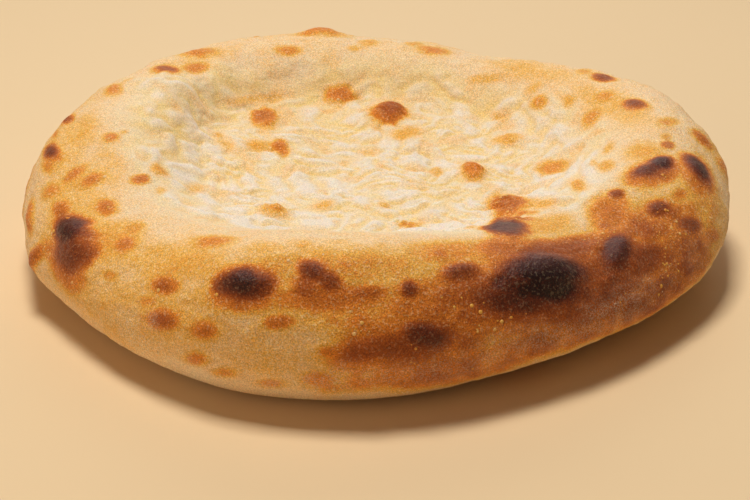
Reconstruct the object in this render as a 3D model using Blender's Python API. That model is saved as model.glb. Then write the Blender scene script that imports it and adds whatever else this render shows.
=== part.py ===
"""Round oven flatbread: a plump uneven rim around a pressed-down, lumpy middle, one solid piece.

Metres, +Z up. The origin is on the resting face, under the middle of the bread.
+X is to the right of the side with the darkest blister, which faces -Y.
"""

import math

import bmesh
import bpy
import numpy as np
from mathutils import Vector, noise

NODE_NAME = "flatbread"

# Driving sizes
MEAN_RADIUS = 0.1175  # of the widest ring, before it is made uneven
RIM_HEIGHT = 0.0452  # the rim's crest above the table
CREST_RADIUS = 0.0913  # where the rim is highest
MIDDLE_THICKNESS = 0.0305  # dough left under the pressed-down middle
MIDDLE_RADIUS = 0.0560  # out to where the middle starts to climb to the rim
SHOULDER_WIDTH = 0.013  # of the rim's gentle inner side, before it drops to the middle
FOOT_INSET = 0.020  # how far the edge of the resting face lies inside the widest ring
FOOT_BEND = 0.010  # width of the strip that turns from the side into the resting face
EDGE_LIFT = 0.0057  # how far one side of the bread's lower edge curls up off the table
LIFT_ANGLE = -38  # where it curls up most, in degrees

# How finely the surface is cut into faces
SQUARES_PER_SIDE = 30  # of the cube that is blown up into the bread
UNDERSIDE_WEIGHT = 0.35  # how densely the underside is meshed, against the top
UNDERSIDE_HEIGHT = 0.0046  # what lies lower than this belongs to the underside
CORNER_CUTS = 5  # rounds of corner cutting that make the profile smooth

# Corners of the cross-section between the named radii and heights, from the inside out.
SLOPE_CORNERS = (  # (share of the slope's width, share of the climb from the middle to the crest)
    (0.0, 0.0),
    (0.35, 0.15),
    (0.75, 0.70),
    (1.0, 0.90),
)
CREST_CORNERS = (  # (metres outside the crest's radius, share of the crest's height)
    (-0.004, 1.03),
    (0.007, 1.02),
)
SIDE_CORNERS = (  # (metres outside the widest radius, share of the crest's height, share of the lift)
    (-0.0075, 0.90, 0.0),
    (-0.0005, 0.66, 0.0),
    (0.0015, 0.42, 0.5),
    (-0.0015, 0.20, 0.8),
    (-0.0085, 0.05, 1.0),
)
LIP_CORNER = (0.6, 0.4)  # under the curled-up edge: (share of the foot's inset, share of the lift)
FLAT_MIDDLE = 0.5  # share of the middle's radius that has no slope at all
BASE_CORNER = 0.4  # share of the widest radius at which the resting face has one more corner

# Waves round the bread: (waves per turn, share of the size, angle of the wave's top in degrees)
OUTLINE_WAVES = (
    (1, 0.0195, -37),
    (2, 0.0191, -14),
    (3, 0.0228, -4),
    (4, 0.0180, 3),
    (5, 0.0086, -27),
    (6, 0.0055, 7),
    (11, 0.0030, 15),
)
HEIGHT_WAVES = (
    (1, 0.0222, 108),
    (2, 0.0177, -73),
    (3, 0.0765, 23),
    (4, 0.0575, -2),
    (5, 0.0132, -30),
)
CREST_WAVES = (
    (1, 0.0088, -11),
    (2, 0.0120, 27),
    (3, 0.0598, 21),
)
MIDDLE_WAVES = (
    (1, 0.060, 105),
    (2, 0.050, -48),
    (3, 0.016, 14),
    (4, 0.012, -42),
)

# Large blisters: (angle in degrees, radius, height, width, swell), all but the angle in metres.
# They are counted from the middle of the waves, before the bread is centred over the origin.
RIM_BLISTERS = (
    (-146, 0.115, 0.035, 0.024, 0.0028),
    (-110, 0.110, 0.040, 0.026, 0.0022),
    (-98, 0.102, 0.043, 0.018, 0.0014),
    (-60, 0.104, 0.038, 0.032, 0.0030),
    (-61, 0.091, 0.046, 0.013, 0.0010),
    (-52, 0.076, 0.042, 0.014, 0.0022),
    (-42, 0.109, 0.036, 0.016, 0.0018),
    (-21, 0.103, 0.048, 0.018, 0.0018),
    (-15, 0.115, 0.044, 0.018, 0.0018),
    (-1, 0.126, 0.033, 0.020, 0.0024),
    (1, 0.118, 0.043, 0.016, 0.0020),
    (100, 0.100, 0.045, 0.018, 0.0030),
    (141, 0.100, 0.044, 0.016, 0.0020),
    (158, 0.106, 0.044, 0.016, 0.0014),
    (-172, 0.111, 0.044, 0.014, 0.0016),
    (-162, 0.119, 0.030, 0.020, 0.0016),
    (-158, 0.120, 0.016, 0.028, 0.0028),
    (-128, 0.119, 0.013, 0.034, 0.0018),
)
MIDDLE_BLISTERS = (
    (80, 0.052, 0.032, 0.018, 0.0030),
    (99, 0.064, 0.033, 0.018, 0.0018),
    (132, 0.058, 0.031, 0.014, 0.0018),
    (150, 0.036, 0.031, 0.015, 0.0016),
    (-2, 0.038, 0.031, 0.015, 0.0020),
    (-133, 0.047, 0.031, 0.016, 0.0018),
)
DENTS = (
    (60, 0.096, 0.047, 0.024, -0.0014),
    (108, 0.100, 0.046, 0.024, -0.0012),
    (24, 0.118, 0.036, 0.030, -0.0012),
    (44, 0.070, 0.036, 0.020, -0.0020),
    (152, 0.072, 0.033, 0.022, -0.0024),
    (130, 0.068, 0.033, 0.022, -0.0024),
)
SWELL_START = 0.0115  # blisters and lumps have their full height from here up, and none at the foot

# Broad unevenness of the dough: (size of the lumps, their swell)
RIM_LUMPS = (0.034, 0.0016)
MIDDLE_LUMPS = ((0.024, 0.0022), (0.011, 0.0011))
LUMP_SEED = Vector((3.7, 1.9, 8.2))  # any other vector gives another set of lumps

CRUST_COLOUR = (0.62, 0.33, 0.12, 1.0)
CRUST_ROUGHNESS = 0.6


def wave(waves, angle):
    """1 plus the sum of the waves at that angle."""
    return 1 + sum(
        share * math.cos(count * (angle - math.radians(top)))
        for count, share, top in waves
    )


def profile_corners(angle):
    """(radius, height) corners of the cross-section, from the middle of the top to that of the base."""
    widest = MEAN_RADIUS * wave(OUTLINE_WAVES, angle)
    crest = RIM_HEIGHT * wave(HEIGHT_WAVES, angle)
    middle = MIDDLE_RADIUS * wave(MIDDLE_WAVES, angle)
    crest_radius = CREST_RADIUS * widest / MEAN_RADIUS * wave(CREST_WAVES, angle)
    slope = crest_radius - SHOULDER_WIDTH - middle
    climb = crest - MIDDLE_THICKNESS
    lift = EDGE_LIFT * max(0.0, math.cos(angle - math.radians(LIFT_ANGLE))) ** 2
    foot = widest - FOOT_INSET - 2 * lift
    lip_inset, lip_height = LIP_CORNER
    corners = [(0.0, MIDDLE_THICKNESS), (FLAT_MIDDLE * middle, MIDDLE_THICKNESS)]
    corners += [(middle + out * slope, MIDDLE_THICKNESS + up * climb) for out, up in SLOPE_CORNERS]
    corners += [(crest_radius + out, up * crest) for out, up in CREST_CORNERS]
    corners += [(widest + out, up * crest + curl * lift) for out, up, curl in SIDE_CORNERS]
    corners += [(widest - lip_inset * FOOT_INSET - lift, lip_height * lift)]
    corners += [(foot, 0.0), (foot - FOOT_BEND, 0.0), (BASE_CORNER * widest, 0.0), (0.0, 0.0)]
    return np.array(corners)


def cut_corners(corners):
    """The corners made into a smooth line by cutting each off at a quarter of its sides, again and again."""
    line = corners
    for _ in range(CORNER_CUTS):
        start, end = line[:-1], line[1:]
        cut = np.stack((0.75 * start + 0.25 * end, 0.25 * start + 0.75 * end), axis=1)
        line = np.concatenate((line[:1], cut.reshape(-1, 2)[1:-1], line[-1:]))
    return line


def area_shares(line):
    """How much of the turned surface, from 0 to 1, lies before each point, with the underside counted less."""
    radius = 0.5 * (line[:-1, 0] + line[1:, 0])
    length = np.hypot(*(line[1:] - line[:-1]).T)
    weight = np.where(line[1:, 1] < UNDERSIDE_HEIGHT, UNDERSIDE_WEIGHT, 1.0)
    total = np.concatenate(((0.0,), np.cumsum(radius * length * weight)))
    return total / total[-1]


def even_ball():
    """A ball of nearly square faces: a cube with its faces cut into squares and its corners pulled in."""
    mesh = bmesh.new()
    bmesh.ops.create_cube(mesh, size=2.0)
    bmesh.ops.subdivide_edges(
        mesh, edges=mesh.edges, cuts=SQUARES_PER_SIDE - 1, use_grid_fill=True
    )
    for vertex in mesh.verts:
        even = [math.tan(c * math.pi / 4) for c in vertex.co]
        vertex.co = Vector(even).normalized()
    return mesh


def turned_point(direction):
    """The point of the smooth bread that a direction from the ball's middle stands for."""
    angle = math.atan2(direction.y, direction.x)
    share = (1 - direction.z) / 2  # of the ball's area, counted from its top
    line = cut_corners(profile_corners(angle))
    before = area_shares(line)
    radius = np.interp(share, before, line[:, 0])
    height = np.interp(share, before, line[:, 1])
    return Vector((radius * math.cos(angle), radius * math.sin(angle), height))


def blister_swell(point):
    """How far the large blisters push this point of the crust outwards, and the dents inwards."""
    swell = 0.0
    for degrees, radius, height, width, top in RIM_BLISTERS + MIDDLE_BLISTERS + DENTS:
        angle = math.radians(degrees)
        middle = Vector((radius * math.cos(angle), radius * math.sin(angle), height))
        away = (point - middle).length / (width / 2)
        swell += top * math.exp(-away * away)
    return swell


def lump_swell(point):
    """How far the broad lumps push this point: soft ones on the rim, busier ones in the middle."""
    reach = math.hypot(point.x, point.y)
    on_middle = min(1.0, max(0.0, (CREST_RADIUS - reach) / (CREST_RADIUS - MIDDLE_RADIUS)))
    size, top = RIM_LUMPS
    rim = top * noise.noise(point / size + LUMP_SEED)
    middle = sum(
        top * noise.noise(point / size + LUMP_SEED) for size, top in MIDDLE_LUMPS
    )
    return (1 - on_middle) * rim + on_middle * middle


def centre_over_origin(mesh):
    """Moves the bread sideways until the middle of its width and of its depth is at the origin."""
    for axis in (0, 1):
        places = [vertex.co[axis] for vertex in mesh.verts]
        middle = (min(places) + max(places)) / 2
        for vertex in mesh.verts:
            vertex.co[axis] -= middle


def build_bread():
    """The whole bread: the smooth turned form, then its blisters, dents and lumps pushed out of it."""
    mesh = even_ball()
    for vertex in mesh.verts:
        vertex.co = turned_point(vertex.co)
    mesh.normal_update()
    outwards = [vertex.normal.copy() for vertex in mesh.verts]
    for vertex, normal in zip(mesh.verts, outwards):
        above_foot = min(1.0, vertex.co.z / SWELL_START)
        swell = blister_swell(vertex.co) + lump_swell(vertex.co)
        vertex.co += normal * swell * above_foot
        vertex.co.z = max(vertex.co.z, 0.0)
    centre_over_origin(mesh)
    data = bpy.data.meshes.new(NODE_NAME)
    mesh.to_mesh(data)
    mesh.free()
    data.shade_smooth()
    return bpy.data.objects.new(NODE_NAME, data)


def crust_material():
    """Baked crust: golden brown, with the dull surface of dry bread."""
    material = bpy.data.materials.new("baked_crust")
    material.use_nodes = True
    shader = material.node_tree.nodes["Principled BSDF"]
    shader.inputs["Base Color"].default_value = CRUST_COLOUR
    shader.inputs["Roughness"].default_value = CRUST_ROUGHNESS
    shader.inputs["Metallic"].default_value = 0.0
    return material


def main():
    for obj in list(bpy.data.objects):
        bpy.data.objects.remove(obj)
    collection = bpy.data.collections.new("Flatbread")
    bpy.context.scene.collection.children.link(collection)
    bread = build_bread()
    bread.data.materials.append(crust_material())
    collection.objects.link(bread)


main()
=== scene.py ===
"""Finish of a round oven flatbread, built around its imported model.

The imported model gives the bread's size, its outline and its largest blisters. This script makes a fine
mesh of it, presses creases into the pale middle, raises the browned blisters, and colours the crust as
a very hot oven does. Small bubbles of the crust and grains of flour are pieces of their own. Lengths
are in metres, except where a comment says otherwise.
"""

import math
import random
from collections import namedtuple

import bmesh
import bpy
import numpy as np
from bpy.props import FloatProperty, FloatVectorProperty, IntProperty, PointerProperty
from bpy.types import Operator, Panel, PropertyGroup
from mathutils import Matrix, Vector, noise
from mathutils.bvhtree import BVHTree
from mathutils.geometry import delaunay_2d_cdt


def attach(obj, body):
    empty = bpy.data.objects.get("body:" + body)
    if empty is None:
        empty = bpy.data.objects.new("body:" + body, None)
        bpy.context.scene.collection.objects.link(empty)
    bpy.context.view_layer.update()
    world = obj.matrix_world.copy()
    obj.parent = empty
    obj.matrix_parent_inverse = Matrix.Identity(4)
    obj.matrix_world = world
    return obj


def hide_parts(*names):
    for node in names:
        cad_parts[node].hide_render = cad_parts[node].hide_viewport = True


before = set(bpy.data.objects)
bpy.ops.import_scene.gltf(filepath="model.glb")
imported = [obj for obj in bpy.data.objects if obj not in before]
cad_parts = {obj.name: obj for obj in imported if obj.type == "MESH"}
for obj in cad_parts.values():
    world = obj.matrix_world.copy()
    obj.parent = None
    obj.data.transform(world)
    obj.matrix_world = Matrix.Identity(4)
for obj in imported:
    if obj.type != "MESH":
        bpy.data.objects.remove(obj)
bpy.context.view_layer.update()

bl_info = {
    "name": "Oven flatbread finish",
    "version": (1, 0, 0),
    "blender": (4, 5, 0),
    "location": "3D View > Sidebar > Flatbread",
    "description": "Creases, browned blisters, crust bubbles and flour for a round oven flatbread",
    "category": "Object",
}

NODE = "flatbread"
BODY = "root"

# The photograph's frame, in which pixels across and down are counted
PHOTO_WIDE = 750
PHOTO_HIGH = 500
SENSOR_WIDE = 36  # of the camera, in millimetres


def linear(code):
    """An sRGB hex colour such as "F0DAB9" as linear red, green, blue and full alpha."""
    parts = [int(code[i : i + 2], 16) / 255 for i in (0, 2, 4)]
    return tuple(p / 12.92 if p <= 0.04045 else ((p + 0.055) / 1.055) ** 2.4 for p in parts) + (1.0,)


def step(low, high, value):
    """0 below low, 1 above high and a smooth rise between them; low may be the larger one."""
    share = np.clip((value - low) / (high - low), 0.0, 1.0)
    return share * share * (3 - 2 * share)


def looking(place, aim):
    """The turn of a camera or a light that stands at the place and looks at the aim."""
    return (Vector(aim) - Vector(place)).to_track_quat("-Z", "Y")


# ---------------------------------------------------------------- what a user may change

def length_setting(name, description, default):
    """A setting that holds a length."""
    return FloatProperty(name=name, description=description, default=default, unit="LENGTH")


def power_setting(name, description, default):
    """A setting that holds a light's power, in watts."""
    return FloatProperty(name=name, description=description, default=default, unit="POWER")


def colour_setting(name, description, code):
    """A setting that holds a colour, with the sRGB hex code as its default."""
    return FloatVectorProperty(
        name=name, description=description, default=linear(code), subtype="COLOR", size=4)


class StudioSettings(PropertyGroup):
    camera_place: FloatVectorProperty(
        name="Camera place", description="Where the camera stands", subtype="XYZ", unit="LENGTH",
        default=(-0.0040, -0.5385, 0.2780))
    camera_aim: FloatVectorProperty(
        name="Camera aim", description="The point that shows in the middle of the picture", subtype="XYZ",
        unit="LENGTH", default=(-0.0008, -0.0311, 0.0153))
    focal_length: FloatProperty(
        name="Focal length", description="Of the lens, in millimetres on a 36 mm wide sensor", default=80.7,
        unit="CAMERA")
    floor_size: length_setting("Floor size", "Side of the square floor", 4.0)
    floor_colour: colour_setting("Floor colour", "Plain pale floor", "EACFA6")
    key_power: power_setting("Key light", "Power of the soft light overhead", 11.3)
    key_colour: colour_setting("Key colour", "Colour of the light overhead", "FFFAF3")
    fill_power: power_setting("Fill light", "Power of the soft light at the front left", 3.1)
    fill_colour: colour_setting("Fill colour", "Colour of the light at the front left", "FFE6C6")
    back_power: power_setting("Back light", "Power of the large soft light behind the bread", 9.0)
    back_colour: colour_setting("Back colour", "Colour of the light behind the bread", "FFFAF3")
    sky_strength: FloatProperty(
        name="Sky", description="Strength of the even light from all round", default=0.085)
    sky_colour: colour_setting("Sky colour", "Colour of the even light from all round", "FFF7EC")


class CrustSettings(PropertyGroup):
    fold_length: length_setting("Fold length", "Of the dough's folds, along them", 0.0100)
    fold_width: length_setting("Fold width", "Of the dough's folds, across them", 0.0076)
    fold_depth: length_setting("Fold depth", "From a fold's top to its crease", 0.0025)
    rim_roughness: length_setting("Rim roughness", "Height of the small bumps on the rim", 0.0006)
    dough: colour_setting("Dough", "Pale, barely baked dough", "E9DCCC")
    cream: colour_setting("Cream", "Dough that has dried in the heat", "E8CFAC")
    straw: colour_setting("Straw", "First colour of baking", "EDC38B")
    golden: colour_setting("Golden", "Well baked crust", "E7AE4A")
    amber: colour_setting("Amber", "Thin blisters", "D98229")
    russet: colour_setting("Russet", "Browned blisters", "A65318")
    brown: colour_setting("Brown", "Dark brown blisters", "672B10")
    char: colour_setting("Char", "Burnt tops of blisters", "260F0C")
    # Painted sheen: a purplish grey laid over burnt tops that face up, where they catch the light from above
    painted_sheen: colour_setting("Painted sheen", "Dull bloom on burnt tops that face up", "7E4238")
    # Painted shade: the yellower colour laid in the middle's creases and on its slopes that face away from the
    # lights
    shade_yellow: colour_setting("Painted shade", "Creases, where the dough is thin and oily", "F4CE76")
    speck: colour_setting("Speck", "Dry specks of the baked crust", "FBE4B8")
    flour: colour_setting("Flour", "Flour left on the crust", "EFE0C4")


class BubbleSettings(PropertyGroup):
    per_area: FloatProperty(
        name="Bubbles per square metre", description="How closely the small bubbles stand in their clusters",
        default=80000)
    smallest: length_setting("Smallest", "Width of the smallest bubbles", 0.0005)
    largest: length_setting("Largest", "Width of the largest bubbles", 0.0014)
    flatness: FloatProperty(name="Flatness", description="Height of a bubble over its width", default=0.34)
    seed: IntProperty(name="Seed", description="Another number gives other places", default=4)


class FlourSettings(PropertyGroup):
    per_area: FloatProperty(
        name="Grains per square metre", description="How closely the grains lie where flour is thick",
        default=140000)
    smallest: length_setting("Smallest", "Width of the smallest grains", 0.00018)
    largest: length_setting("Largest", "Width of the largest grains", 0.00045)
    flatness: FloatProperty(name="Flatness", description="Height of a grain over its width", default=0.7)
    seed: IntProperty(name="Seed", description="Another number gives other places", default=9)


# ---------------------------------------------------------------- blisters, as the photograph shows them

# across, down: the middle, in pixels of the photograph. wide, high: its size there. tilt: degrees, with
# the right end up. tone: how brown, from 0 to 1. swell: how far it stands out, in millimetres.
Mark = namedtuple("Mark", "across down wide high tilt tone swell", defaults=(0, 0.4, 0.0))

CHARRED = (
    Mark(71, 231, 39, 32, 4, 0.91, 1.8),
    Mark(71, 250, 38, 42, 8, 0.79, 1.0),
    Mark(243, 282, 60, 31, 0, 0.92, 1.5),
    Mark(314, 271, 32, 22, -20, 0.79, 1.0),
    Mark(328, 281, 26, 20, -25, 0.74, 0.6),
    Mark(409, 289, 18, 18, 30, 0.78, 0.8),
    Mark(460, 271, 36, 16, 10, 0.76, 0.8),
    Mark(545, 271, 90, 40, 0, 0.98, 1.8),
    Mark(510, 285, 46, 32, 10, 0.88, 0.4),
    Mark(522, 298, 92, 34, 4, 0.87),
    Mark(545, 288, 80, 34, 0, 0.96),
    Mark(618, 249, 27, 33, -12, 0.92, 0.9),
    Mark(506, 227, 45, 25, -6, 0.91, 0.9),
    Mark(510, 207, 40, 22, -4, 0.60, 2.6),
    Mark(515, 217, 46, 10, -4, 0.56),
    Mark(660, 163, 26, 13, 10, 0.97, 0.8),
    Mark(647, 170, 28, 12, 15, 0.84, 0.6),
    Mark(697, 167, 38, 14, -48, 0.92, 0.9),
    Mark(425, 335, 46, 24, -8, 0.84, 0.8),
    Mark(366, 350, 56, 24, 14, 0.68, 0.6),
    Mark(659, 208, 24, 15, 0, 0.78, 0.7),
    Mark(691, 225, 22, 16, -20, 0.76, 0.5),
)

BROWNED = (
    Mark(66, 264, 34, 56, 15, 0.60),
    Mark(74, 240, 50, 54, 0, 0.52),
    Mark(307, 288, 34, 28, 10, 0.64, 0.4),
    Mark(366, 293, 44, 16, 6, 0.62, 0.4),
    Mark(325, 298, 110, 28, 0, 0.57),
    Mark(240, 295, 66, 32, 0, 0.62),
    Mark(52, 252, 20, 36, 20, 0.52),
    Mark(450, 252, 92, 28, 0, 0.48),
    Mark(505, 250, 60, 30, 0, 0.60),
    Mark(545, 226, 64, 22, 0, 0.41),
    Mark(612, 214, 46, 42, 0, 0.56),
    Mark(645, 152, 40, 20, 0, 0.42),
    Mark(534, 288, 120, 66, 0, 0.68),
    Mark(560, 250, 130, 28, 2, 0.69),
    Mark(470, 280, 54, 32, 0, 0.65),
    Mark(405, 348, 112, 38, 2, 0.70),
    Mark(464, 342, 40, 30, 0, 0.62),
    Mark(594, 247, 22, 15, 0, 0.64, 0.4),
    Mark(524, 212, 26, 9, -8, 0.50, 0.4),
    Mark(655, 170, 54, 26, 12, 0.66),
    Mark(700, 172, 44, 24, -48, 0.62),
    Mark(432, 338, 74, 38, 0, 0.66),
    Mark(366, 352, 80, 36, 12, 0.58),
    Mark(617, 254, 54, 48, -12, 0.76),
    Mark(166, 71, 26, 11, -8, 0.68, 0.5),
    Mark(195, 68, 26, 11, 0, 0.50, 0.4),
    Mark(198, 53, 38, 9, 5, 0.50, 1.0),
    Mark(113, 90, 18, 12, 20, 0.50, 0.6),
    Mark(129, 82, 18, 8, 15, 0.36),
    Mark(67, 120, 15, 10, 40, 0.70, 0.4),
    Mark(55, 134, 8, 12, 0, 0.50),
    Mark(51, 152, 17, 17, 45, 0.80, 0.5),
    Mark(48, 165, 14, 14, 0, 0.48),
    Mark(87, 125, 16, 7, 25, 0.30),
    Mark(111, 138, 18, 10, 0, 0.52, 0.4),
    Mark(124, 133, 12, 7, 0, 0.38),
    Mark(141, 179, 18, 10, 0, 0.58, 0.4),
    Mark(159, 170, 18, 11, -20, 0.44, 0.3),
    Mark(161, 190, 16, 10, 0, 0.36),
    Mark(75, 174, 26, 12, 35, 0.52, 0.4),
    Mark(92, 180, 26, 12, 25, 0.54, 0.4),
    Mark(51, 191, 22, 14, 30, 0.50, 0.3),
    Mark(61, 208, 18, 14, 30, 0.56, 0.5),
    Mark(106, 207, 22, 15, 0, 0.56, 0.6),
    Mark(134, 228, 24, 12, 20, 0.44),
    Mark(125, 244, 20, 16, 25, 0.56, 0.4),
    Mark(213, 241, 44, 12, 5, 0.50, 0.2),
    Mark(30, 216, 9, 34, 0, 0.54, 0.9),
    Mark(34, 258, 11, 30, -20, 0.62, 1.1),
    Mark(164, 285, 25, 18, 0, 0.62, 0.5),
    Mark(163, 319, 31, 20, 0, 0.66, 0.6),
    Mark(155, 322, 54, 32, 0, 0.42),
    Mark(204, 330, 28, 20, 0, 0.56, 0.4),
    Mark(147, 301, 22, 13, 0, 0.46),
    Mark(110, 275, 16, 13, 0, 0.46),
    Mark(196, 359, 22, 14, 0, 0.52, 0.2),
    Mark(225, 373, 24, 10, 0, 0.48),
    Mark(150, 333, 11, 9, 0, 0.32),
    Mark(304, 244, 17, 8, 0, 0.42, 0.2),
    Mark(341, 241, 28, 7, 6, 0.34),
    Mark(381, 245, 15, 7, 0, 0.36, 0.2),
    Mark(439, 254, 19, 10, 0, 0.56, 0.3),
    Mark(279, 322, 32, 14, 5, 0.58, 0.4),
    Mark(283, 297, 20, 10, 0, 0.52),
    Mark(330, 352, 26, 14, 0, 0.54),
    Mark(318, 379, 34, 14, 0, 0.52, 0.2),
    Mark(271, 384, 30, 10, 0, 0.50),
    Mark(603, 77, 24, 7, -8, 0.72, 0.4),
    Mark(584, 71, 16, 7, 0, 0.44),
    Mark(635, 104, 24, 11, -6, 0.76, 0.5),
    Mark(605, 96, 22, 9, 10, 0.46, 0.2),
    Mark(569, 101, 18, 13, 40, 0.40),
    Mark(591, 117, 26, 12, 45, 0.46, 0.3),
    Mark(616, 194, 20, 10, 8, 0.72, 0.4),
    Mark(601, 199, 15, 8, 0, 0.46, 0.3),
    Mark(613, 210, 18, 8, 0, 0.42, 0.3),
    Mark(605, 226, 16, 10, 0, 0.62, 0.3),
    Mark(674, 212, 16, 10, 0, 0.60, 0.2),
    Mark(667, 145, 15, 8, 0, 0.60, 0.2),
    Mark(666, 137, 11, 7, 0, 0.46),
    Mark(667, 122, 22, 9, 0, 0.46),
    Mark(703, 139, 26, 9, -42, 0.60, 0.4),
    Mark(722, 166, 10, 22, 25, 0.50, 0.8),
    Mark(711, 236, 18, 16, 0, 0.56),
    Mark(680, 194, 18, 12, 0, 0.52),
    Mark(646, 256, 50, 32, 0, 0.75),
    Mark(636, 279, 16, 14, 0, 0.54),
    Mark(541, 345, 32, 14, 12, 0.58, 0.2),
    Mark(495, 328, 24, 13, 0, 0.52),
    Mark(320, 32, 46, 8, 0, 0.52, 1.7),
    Mark(288, 50, 26, 10, 0, 0.48, 0.4),
    Mark(433, 50, 34, 10, -8, 0.50, 0.4),
    Mark(414, 44, 18, 7, 0, 0.44),
    Mark(369, 42, 20, 7, 0, 0.42),
    Mark(354, 48, 16, 7, 0, 0.40),
)

MIDDLE_SPOTS_AND_SHADE = (
    # The first two rows are painted shade: a darker, yellower band where the far wall of a hollow in the
    # middle lies in shade
    Mark(252, 103, 96, 18, 8, 0.34),
    Mark(262, 102, 90, 20, 8, 0.33),
    Mark(280, 122, 50, 16, 8, 0.26),
    Mark(240, 121, 100, 8, 8, 0.0, 1.3),
    Mark(341, 96, 33, 18, 0, 0.55, 1.4),
    Mark(390, 111, 35, 21, 0, 0.66, 2.4),
    Mark(265, 120, 25, 16, 0, 0.57, 1.4),
    Mark(268, 130, 16, 7, 0, 0.40),
    Mark(280, 147, 19, 14, -20, 0.54, 0.7),
    Mark(259, 148, 34, 11, 0, 0.40),
    Mark(218, 143, 15, 9, 0, 0.38, 0.2),
    Mark(226, 150, 32, 14, -15, 0.35),
    Mark(211, 175, 11, 7, 0, 0.20),
    Mark(196, 188, 24, 12, 0, 0.34),
    Mark(195, 131, 13, 8, 0, 0.20),
    Mark(200, 218, 14, 6, -20, 0.26),
    Mark(146, 208, 14, 8, 0, 0.22),
    Mark(257, 160, 11, 6, 0, 0.20),
    Mark(284, 168, 15, 7, 0, 0.22),
    Mark(436, 170, 16, 10, 0, 0.38, 0.3),
    Mark(473, 168, 24, 17, 0, 0.52, 1.4),
    Mark(407, 133, 42, 18, 8, 0.40, 0.2),
    Mark(425, 143, 15, 10, 0, 0.26),
    Mark(368, 151, 28, 11, 0, 0.32),
    Mark(321, 153, 18, 8, 10, 0.18),
    Mark(318, 104, 13, 8, 0, 0.24),
    Mark(363, 110, 12, 6, 0, 0.22),
    Mark(381, 126, 32, 5, 5, 0.20),
    Mark(274, 210, 30, 13, -8, 0.44, 1.4),
    Mark(288, 218, 12, 5, 0, 0.24),
    Mark(323, 204, 32, 10, 8, 0.38, 0.3),
    Mark(321, 191, 15, 7, 10, 0.20),
    Mark(384, 205, 16, 9, 0, 0.38, 0.3),
    Mark(368, 207, 12, 6, 0, 0.22),
    Mark(409, 224, 24, 9, 0, 0.46, 0.5),
    Mark(454, 218, 14, 5, 12, 0.24),
    Mark(471, 226, 18, 4, 6, 0.32),
    Mark(353, 224, 16, 5, 5, 0.22),
    Mark(335, 221, 9, 5, 0, 0.20),
    Mark(423, 186, 9, 6, 0, 0.20),
    Mark(394, 189, 11, 6, 0, 0.20),
    Mark(499, 118, 22, 12, -25, 0.36, 0.2),
    Mark(507, 138, 32, 10, 5, 0.42, 0.2),
    Mark(506, 127, 28, 14, 0, 0.27),
    Mark(485, 78, 48, 12, 5, 0.36),
    Mark(469, 88, 12, 7, 0, 0.26),
    Mark(539, 102, 18, 12, 35, 0.46, 0.3),
    Mark(533, 88, 28, 11, 30, 0.38),
    Mark(551, 168, 30, 12, 18, 0.48, 0.5),
    Mark(571, 154, 6, 11, 0, 0.26),
    Mark(594, 163, 10, 12, 0, 0.36, 0.2),
    Mark(608, 148, 20, 9, 50, 0.38, 0.2),
    Mark(605, 165, 18, 10, 20, 0.42, 0.3),
    Mark(578, 184, 16, 11, -20, 0.44, 0.3),
    Mark(541, 203, 40, 20, 0, 0.38, 0.2),
)

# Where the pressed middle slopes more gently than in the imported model. across, down: the place, in pixels of
# the photograph. raised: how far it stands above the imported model, in metres. reach: how far round it.
Gentle = namedtuple("Gentle", "across down raised reach")
GENTLE_SLOPES = (Gentle(184, 118, 0.0046, 0.027), Gentle(268, 80, 0.0030, 0.020))

# Wide, soft stretches of crust; tone is how brown they are. Those on the lower front and the right front are
# partly browning and partly painted shade, darker towards the bottom and the right.
BAKED_AND_SHADED_STRETCHES = (
    Mark(140, 318, 240, 120, 0, 0.38),
    Mark(280, 350, 190, 100, 0, 0.33),
    Mark(330, 266, 330, 56, 0, 0.45),
    Mark(310, 246, 230, 22, 0, 0.34),
    Mark(380, 318, 230, 84, 0, 0.51),
    Mark(175, 262, 150, 54, 0, 0.42),
    Mark(120, 240, 60, 50, 0, 0.46),
    Mark(112, 165, 70, 70, 0, 0.34),
    Mark(80, 130, 50, 40, 35, 0.38),
    # These rows, down to the one at 687, 257, are partly browning and partly painted shade, darker towards the
    # bottom and the right front
    Mark(450, 372, 290, 48, 8, 0.62),
    Mark(345, 384, 120, 26, 0, 0.55),
    Mark(490, 305, 260, 110, 0, 0.645),
    Mark(600, 285, 210, 116, 20, 0.69),
    Mark(650, 300, 150, 60, 35, 0.66),
    Mark(560, 340, 180, 40, 14, 0.64),
    Mark(687, 257, 82, 96, 30, 0.62),
    Mark(650, 228, 150, 60, 20, 0.63),
    Mark(705, 215, 70, 130, 0, 0.40),
    Mark(610, 105, 140, 36, -20, 0.38),
    Mark(530, 70, 130, 26, -10, 0.34),
    Mark(75, 200, 90, 110, 0, 0.36),
    Mark(60, 150, 60, 80, 40, 0.34),
    Mark(180, 72, 130, 30, 20, 0.36),
)

# Where flour stayed on the crust; tone is how thick it lies
FLOURED = (
    Mark(622, 308, 120, 44, 28, 0.42),
    Mark(705, 262, 36, 80, 0, 0.16),
    Mark(554, 337, 200, 30, 12, 0.42),
    Mark(270, 388, 220, 26, 0, 0.60),
    Mark(158, 361, 220, 32, -31, 0.95),
    Mark(478, 62, 90, 16, -4, 0.35),
    Mark(446, 370, 220, 34, 8, 0.34),
    Mark(300, 238, 240, 14, 0, 0.30),
    Mark(640, 125, 80, 40, -20, 0.30),
    Mark(120, 110, 110, 50, 30, 0.26),
)

# The pale middle's edge: its distance from the middle of the bread, in metres, at every 30 degrees
PALE_EDGE = (0.080, 0.076, 0.071, 0.073, 0.076, 0.098, 0.087, 0.082, 0.081, 0.082, 0.086, 0.086)
PALE_FADE = 0.018  # width of the change from pale to baked
CREASES_END = 0.006  # the creases end this far outside that edge
CREASES_WHOLE = 0.012  # and are whole from this far inside it
TOP_SIDE = 0.022  # the pale middle lies higher than this

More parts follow.
